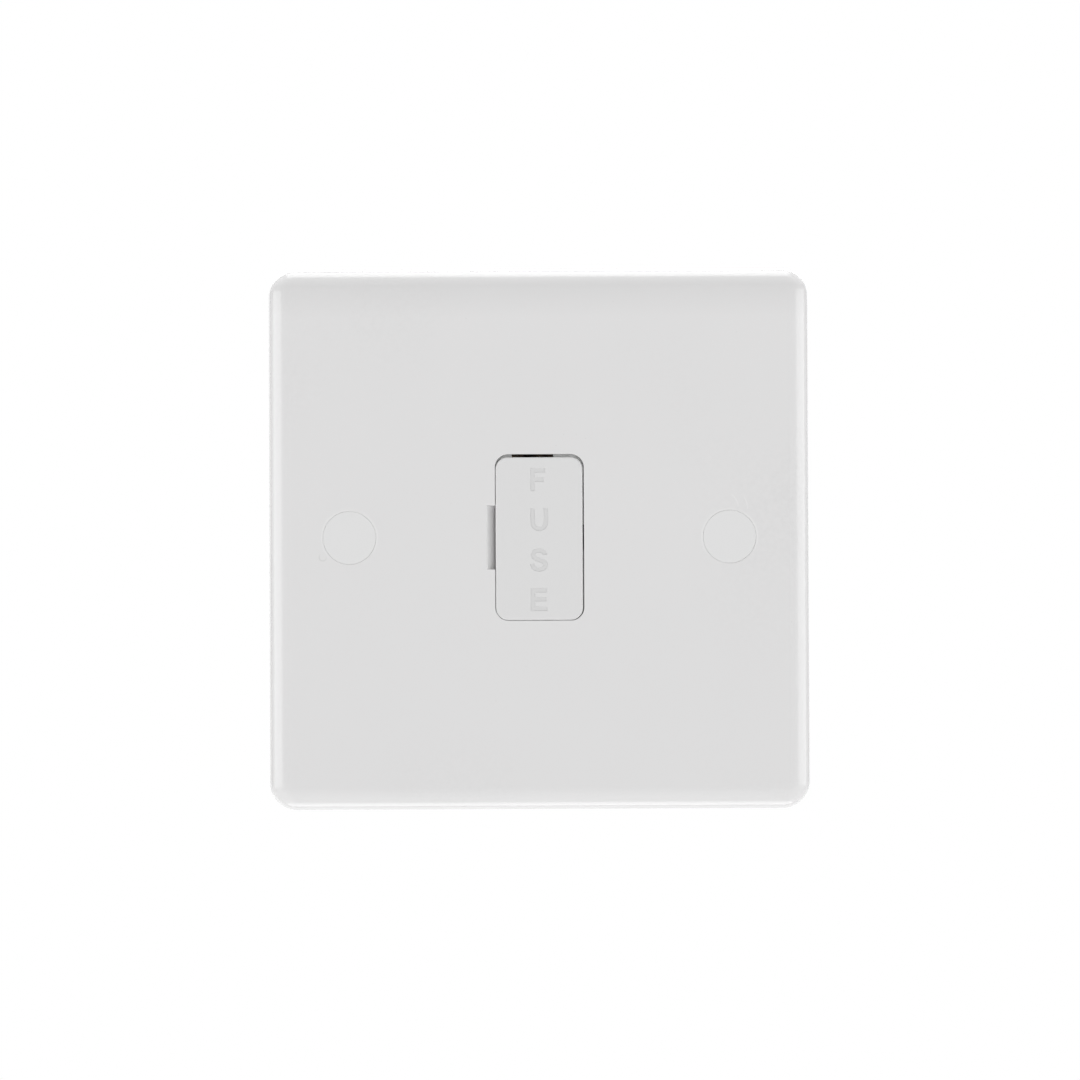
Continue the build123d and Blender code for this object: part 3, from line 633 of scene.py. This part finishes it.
def combine(piece, tool, operation):
    """Cut a tool from a piece, or join it on, and take the tool out of the scene."""
    step = piece.modifiers.new("combine", "BOOLEAN")
    step.object = tool
    step.operation = operation
    step.solver = "EXACT"
    step.material_mode = "TRANSFER"
    graph = bpy.context.evaluated_depsgraph_get()
    mesh = bpy.data.meshes.new_from_object(piece.evaluated_get(graph))
    piece.modifiers.clear()
    piece.data = mesh
    bpy.data.objects.remove(tool)


def to_size(mesh):
    """Bring a mesh from millimetres to metres, smooth where it is round and crisp at its edges."""
    mesh.transform(Matrix.Scale(MM, 4))
    if mesh.has_custom_normals:
        mesh.attributes.remove(mesh.attributes["custom_normal"])
    mesh.set_sharp_from_angle(angle=SMOOTH_ANGLE)
    for face in mesh.polygons:
        face.use_smooth = max(abs(part) for part in face.normal) < FLAT_LIMIT


def arc_points(centre, radius, start, end):
    """Points of an arc, in degrees from the x axis."""
    angles = [math.radians(start + (end - start) * step / ARC_STEPS) for step in range(ARC_STEPS + 1)]
    return [(centre[0] + radius * math.cos(a), centre[1] + radius * math.sin(a)) for a in angles]


def bar_letter(bars):
    """Outline of a letter with an upright stem on its left; each bar has its top and its reach."""
    outline = [(0.0, 0.0)]
    for top, reach in bars:
        if top > 0:
            outline.append((LETTER_STROKE, -top))
        outline += [(reach, -top), (reach, -top - LETTER_STROKE)]
        if top + LETTER_STROKE < LETTER_HEIGHT:
            outline.append((LETTER_STROKE, -top - LETTER_STROKE))
    if outline[-1][1] > -LETTER_HEIGHT:
        outline.append((LETTER_STROKE, -LETTER_HEIGHT))
    return outline + [(0.0, -LETTER_HEIGHT)]


def bowl_letter():
    """Outline of the U: two legs on a half ring."""
    outer = U_WIDTH / 2
    centre = (outer, outer - LETTER_HEIGHT)
    outside = arc_points(centre, outer, 180, 360)
    inside = arc_points(centre, outer - LETTER_STROKE, 360, 180)
    right_leg = [(U_WIDTH, 0.0), (U_WIDTH - LETTER_STROKE, 0.0)]
    return [(0.0, 0.0), *outside, *right_leg, *inside, (LETTER_STROKE, 0.0)]


def curved_letter():
    """Outline of the S: a stroke of even width along its spine."""
    spine = []
    for curve in S_SPINE:
        knots = [Vector((x + S_LEFT, z)) for x, z in curve]
        spine += interpolate_bezier(*knots, ARC_STEPS)[:-1]
    spine.append(knots[-1])
    left = []
    right = []
    for index, point in enumerate(spine):
        ahead = spine[min(index + 1, len(spine) - 1)] - spine[max(index - 1, 0)]
        across = Vector((-ahead.y, ahead.x)).normalized() * LETTER_STROKE / 2
        left.append(tuple(point + across))
        right.append(tuple(point - across))
    return left + right[::-1]


def add_prism(shape, outline, x, top, front, back):
    """A letter's outline made solid between two depths, in a bmesh."""
    floor = shape.faces.new([shape.verts.new((x + u, back, top + v)) for u, v in outline])
    raised = bmesh.ops.extrude_face_region(shape, geom=[floor])
    for corner in (part for part in raised["geom"] if isinstance(part, bmesh.types.BMVert)):
        corner.co.y = front


def engraved_carrier(face_finish, letter_finish):
    """The fuse carrier with the word cut into its face."""
    low, high = box_mm("fuse_carrier")
    centre = (low + high) / 2
    outlines = (bar_letter(F_BARS), bowl_letter(), curved_letter(), bar_letter(E_BARS))
    letters = bmesh.new()
    for place, outline in enumerate(outlines):
        middle = centre.z + LETTERS_SHIFT_Z + ((len(outlines) - 1) / 2 - place) * LETTER_PITCH
        top = middle + LETTER_HEIGHT / 2
        front, back = low.y - LETTER_DEPTH, low.y + LETTER_DEPTH
        add_prism(letters, outline, centre.x + LETTER_LEFT, top, front, back)
    bmesh.ops.recalc_face_normals(letters, faces=letters.faces)
    cutter = link_object("word_cutter", finished_mesh("word_cutter", letters))
    cutter.data.materials.append(letter_finish)
    name = "engraved_carrier"
    piece = link_object(name, finished_mesh(name, joined_copy("fuse_carrier")))
    piece.data.materials.append(face_finish)
    piece.data.materials.append(letter_finish)
    combine(piece, cutter, "DIFFERENCE")
    to_size(piece.data)
    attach(piece, "carrier")
    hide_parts("fuse_carrier")


def thread_point(turn, row, start, end):
    """One point of the thread's surface, as x, y and z about the screw's axis."""
    step, cut = THREAD_STEPS[row % len(THREAD_STEPS)]
    y = start + THREAD_PITCH * (row // len(THREAD_STEPS) - 1 + step + turn)
    radius = THREAD_DIA / 2 - THREAD_DEPTH * cut
    if y <= start or y >= end:
        radius = THREAD_DIA / 2 - THREAD_DEPTH
    angle = 2 * math.pi * turn
    return Vector((radius * math.sin(angle), max(start, min(end, y)), radius * math.cos(angle)))


def add_thread(shape, x, start, end):
    """A right-hand thread along Y, in a bmesh."""
    pitch_rows = len(THREAD_STEPS)
    rows = pitch_rows * (math.ceil((end - start) / THREAD_PITCH) + 2)
    axis = Vector((x, 0, 0))
    grid = []
    for side in range(THREAD_SIDES):
        turn = side / THREAD_SIDES
        grid.append([shape.verts.new(axis + thread_point(turn, row, start, end)) for row in range(rows)])
    for side, column in enumerate(grid):
        following = grid[0][pitch_rows:] if side == THREAD_SIDES - 1 else grid[side + 1]
        for row in range(len(following) - 1):
            shape.faces.new((column[row], column[row + 1], following[row + 1], following[row]))


def close_holes(shape):
    """Fill the open ends of a bmesh and turn its faces outwards."""
    bmesh.ops.holes_fill(shape, edges=[edge for edge in shape.edges if edge.is_boundary])
    bmesh.ops.recalc_face_normals(shape, faces=shape.faces)


def threaded_fixing_screws(finish):
    """The two fixing screws, with their heads and necks as they are and a cut thread."""
    low, high = box_mm("fixing_screws")
    head = (high.z - low.z) / 2
    centres = (low.x + head, high.x - head)
    screws = joined_copy("fixing_screws")
    crest = []
    for corner in screws.verts:
        radius = min(math.hypot(corner.co.x - x, corner.co.z) for x in centres)
        if abs(radius - THREAD_DIA / 2) < THREAD_MATCH and corner.co.y > low.y + head:
            crest.append(corner.co.y)
    start = min(crest)
    everything = screws.verts[:] + screws.edges[:] + screws.faces[:]
    bmesh.ops.bisect_plane(
        screws, geom=everything, plane_co=(0, start, 0), plane_no=(0, 1, 0), clear_outer=True
    )
    close_holes(screws)
    thread = bmesh.new()
    for x in centres:
        add_thread(thread, x, start - THREAD_PITCH / 2, high.y)
    bmesh.ops.remove_doubles(thread, verts=thread.verts, dist=JOIN_DISTANCE)
    close_holes(thread)
    name = "threaded_fixing_screws"
    piece = link_object(name, finished_mesh(name, screws))
    combine(piece, link_object("thread", finished_mesh("thread", thread)), "UNION")
    piece.data.materials.clear()
    piece.data.materials.append(finish)
    to_size(piece.data)
    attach(piece, "housing")
    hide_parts("fixing_screws")


def raised_mark(text, x, z, back):
    """A short word on a face that looks along +Y, as a mesh in millimetres."""
    curve = bpy.data.curves.new("mark", "FONT")
    curve.body = text
    curve.align_x = "CENTER"
    curve.align_y = "CENTER"
    curve.size = MARK_HEIGHT / MARK_CAPITAL
    curve.extrude = (MARK_RISE + MARK_SINK) / 2
    holder = link_object("mark", curve)
    graph = bpy.context.evaluated_depsgraph_get()
    mesh = bpy.data.meshes.new_from_object(holder.evaluated_get(graph))
    bpy.data.objects.remove(holder)
    middle = back + (MARK_RISE - MARK_SINK) / 2
    mesh.transform(Matrix.Translation((x, middle, z)) @ MARK_TURN.to_4x4())
    return mesh


def terminal_marks(finish):
    """Letters beside the terminals and a word for each row, raised on the rear cover."""
    back = box_mm("rear_cover")[1].y
    shape = bmesh.new()
    for row, word in ROW_WORDS.items():
        low, high = box_mm(f"live_{row}_terminal")
        hole = (low.z + high.z) / 2
        inward = -math.copysign(1.0, hole)
        shape.from_mesh(raised_mark(word, 0, hole + inward * ROW_MARK_DROP, back))
        for column, letter in COLUMN_LETTERS.items():
            low, high = box_mm(f"{column}_{row}_terminal")
            x = (low.x + high.x) / 2
            shape.from_mesh(raised_mark(letter, x, hole + inward * MARK_TO_HOLE, back))
    bmesh.ops.remove_doubles(shape, verts=shape.verts, dist=JOIN_DISTANCE)
    bmesh.ops.recalc_face_normals(shape, faces=shape.faces)
    piece = link_object("terminal_marks", finished_mesh("terminal_marks", shape))
    piece.data.materials.append(finish)
    to_size(piece.data)
    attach(piece, "housing")


def dress(node, finish):
    """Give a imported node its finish."""
    mesh = nodes[node].data
    mesh.materials.clear()
    mesh.materials.append(finish)


def direction(azimuth, elevation):
    """From the plate towards a place round it; azimuth 0 is straight in front."""
    a = math.radians(azimuth)
    e = math.radians(elevation)
    return Vector((math.sin(a) * math.cos(e), -math.cos(a) * math.cos(e), math.sin(e)))


def soft_box(name, azimuth, elevation, width, height, watts):
    """A lamp aimed at the plate, which the camera doesn't see."""
    lamp = bpy.data.lights.new(name, "AREA")
    lamp.shape = "RECTANGLE"
    lamp.size = width
    lamp.size_y = height
    lamp.energy = watts
    holder = link_object(name, lamp)
    holder.location = direction(azimuth, elevation) * LAMP_DISTANCE
    holder.rotation_mode = "QUATERNION"
    holder.rotation_quaternion = (-direction(azimuth, elevation)).to_track_quat("-Z", "Y")
    holder.visible_camera = False


def white_world():
    """Soft light that is stronger from the front and from below, and a pure white background."""
    world = bpy.data.worlds.new("studio")
    bpy.context.scene.world = world
    world.use_nodes = True
    tree = world.node_tree
    tree.nodes.clear()
    path = add(tree, "ShaderNodeLightPath").outputs
    seen = calculate(tree, "ADD", path["Is Camera Ray"], path["Is Glossy Ray"])
    seen = calculate(tree, "ADD", seen, path["Is Transmission Ray"], clamp=True)
    heading = add(tree, "ShaderNodeTexCoord").outputs["Generated"]
    towards = add(tree, "ShaderNodeSeparateXYZ", {"Vector": heading}).outputs
    level = spread(tree, towards["Y"], -FILL_TURN, FILL_TURN, FILL_FRONT, FILL_BACK)
    lean = spread(tree, towards["Z"], -1.0, 1.0, 1 + FILL_LEAN, 1 - FILL_LEAN)
    level = calculate(tree, "MULTIPLY", level, lean)
    fill = add(tree, "ShaderNodeBackground", {"Color": WHITE, "Strength": level}).outputs[0]
    backdrop = add(tree, "ShaderNodeBackground", {"Color": WHITE, "Strength": 1.0}).outputs[0]
    choose = add(tree, "ShaderNodeMixShader", {"Fac": seen, 1: fill, 2: backdrop}).outputs[0]
    add(tree, "ShaderNodeOutputWorld", {"Surface": choose})


def floor_finish():
    """Pale paint that fades to the white background, and is clear from below, where the camera is."""
    material, tree, shader = new_material("pale_floor")
    shader.inputs["Base Color"].default_value = FLOOR_TONE
    shader.inputs["Roughness"].default_value = FLOOR_ROUGHNESS
    away = vector_step(tree, "LENGTH", own_place(tree)).outputs["Value"]
    fade = spread(tree, away, FLOOR_CLEAR_FROM, FLOOR_CLEAR_TO)
    white = add(tree, "ShaderNodeEmission", {"Color": WHITE, "Strength": 1.0}).outputs[0]
    faded = add(tree, "ShaderNodeMixShader", {"Fac": fade, 1: shader.outputs[0], 2: white}).outputs[0]
    below = add(tree, "ShaderNodeNewGeometry").outputs["Backfacing"]
    clear = add(tree, "ShaderNodeBsdfTransparent").outputs[0]
    choose = add(tree, "ShaderNodeMixShader", {"Fac": below, 1: faded, 2: clear}).outputs[0]
    feed(tree, choose, tree.nodes["Material Output"].inputs["Surface"])
    return material


def pale_floor():
    """A floor just under the plate, which takes its shadow and throws no light back at it."""
    half = FLOOR_SIZE / 2
    mesh = bpy.data.meshes.new("floor")
    corners = [(-half, -half, 0), (half, -half, 0), (half, half, 0), (-half, half, 0)]
    mesh.from_pydata(corners, [], [(0, 1, 2, 3)])
    mesh.materials.append(floor_finish())
    floor = link_object("floor", mesh)
    floor.location.z = cad_box[0].z - FLOOR_GAP
    floor.visible_diffuse = False
    floor.visible_glossy = False
    floor.visible_transmission = False
    floor.visible_shadow = False


def photo_camera():
    """The camera at the photograph's distance, angle and framing."""
    back = direction(CAMERA_AZIMUTH, CAMERA_ELEVATION)
    turn = (-back).to_track_quat("-Z", "Y") @ Quaternion((0, 0, 1), math.radians(CAMERA_ROLL))
    camera = bpy.data.cameras.new("photo_camera")
    camera.sensor_width = SENSOR_WIDTH
    pixel = MM / PIXELS_PER_MM
    camera.lens = SENSOR_WIDTH * CAMERA_DISTANCE / (PHOTO_PIXELS * pixel)
    right = turn @ Vector((1, 0, 0))
    up = turn @ Vector((0, 1, 0))
    offset_x = PLATE_CENTRE_PIXEL[0] - PHOTO_PIXELS / 2
    offset_y = PLATE_CENTRE_PIXEL[1] - PHOTO_PIXELS / 2
    target = Vector((0, FRONT, 0)) - right * (offset_x * pixel) + up * (offset_y * pixel)
    holder = link_object("photo_camera", camera)
    holder.location = target + back * CAMERA_DISTANCE
    holder.rotation_mode = "QUATERNION"
    holder.rotation_quaternion = turn
    bpy.context.scene.camera = holder


bpy.context.scene.view_settings.view_transform = "Standard"
groups = {
    "moulded_surface": moulded_surface_group(),
    "eased_edges": eased_edges_group(),
    "stray_specks": stray_specks_group(),
    "handling_smudge": handling_smudge_group(),
    "arc_mark": arc_mark_group(),
    "front_recesses": front_recesses_group(),
    "tool_lines": tool_lines_group(),
    "tarnish": tarnish_group(),
}
plate_white = white_plastic("plate_white", [*RUB_MARKS, *cap_highlights()], SHADE_BAND_SHARE, WALL_FACING)
# The caps' edges below their face get the recesses' painted light
cap_white = white_plastic("cap_white", facing=EDGE_FACING)
carrier_white = white_plastic("carrier_white", facing=WALL_FACING)
engraved_white = white_plastic("engraved_white")
cover_white = white_plastic("cover_white")
mark_white = white_plastic("mark_white")
fuse_ceramic = white_plastic("fuse_ceramic")
metals = {name: metal(name) for name in METALS}

finishes = {
    "front_plate": plate_white,
    "left_screw_cap": cap_white,
    "right_screw_cap": cap_white,
    "rear_cover": cover_white,
    "fuse_tube": fuse_ceramic,
    "fuse_cap_upper": metals["fuse_nickel"],
    "fuse_cap_lower": metals["fuse_nickel"],
    "fuse_element": metals["fuse_wire"],
    "cover_screws": metals["zinc_steel"],
    "neutral_link": metals["brass_strip"],
    "earth_link": metals["brass_strip"],
    "live_load_clip": metals["spring_bronze"],
    "live_supply_clip": metals["spring_bronze"],
}
for row in ROW_WORDS:
    for column in COLUMN_LETTERS:
        finishes[f"{column}_{row}_terminal"] = metals["brass_block"]
        finishes[f"{column}_{row}_screw"] = metals["terminal_steel"]
for node, finish in finishes.items():
    dress(node, finish)

engraved_carrier(carrier_white, engraved_white)
threaded_fixing_screws(metals["zinc_steel"])
terminal_marks(mark_white)

white_world()
pale_floor()
for name, settings in SOFT_BOXES.items():
    soft_box(name, *settings)
photo_camera()
